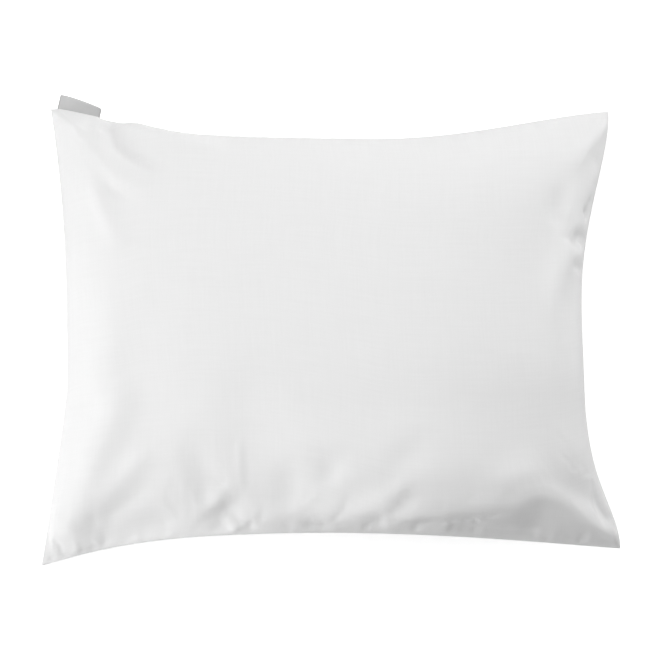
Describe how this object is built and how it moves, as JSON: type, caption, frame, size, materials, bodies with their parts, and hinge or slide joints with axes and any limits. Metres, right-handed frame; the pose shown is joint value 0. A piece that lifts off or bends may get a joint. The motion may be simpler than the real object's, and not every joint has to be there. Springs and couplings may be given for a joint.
{
  "type": "filled pillowcase",
  "caption": "White percale pillowcase filled by its pillow, lying on its back: crowned faces, drawn-in sides, pointed corners and a small woven tab in the top seam.",
  "frame": {"origin": "on the surface it lies on, under the middle of its bounding box", "axes": "+X along the long side, to the right as seen from the front face; +Y up the face, towards the seam with the tab; +Z out of the front face, away from the surface it lies on"},
  "size_m": [0.6418, 0.5214, 0.1506],
  "materials": {
    "percale": "matte",
    "ribbon": "matte"
  },
  "bodies": {
    "root": {"pillowcase": "percale", "label_tab": "ribbon"}
  },
  "joints": []
}
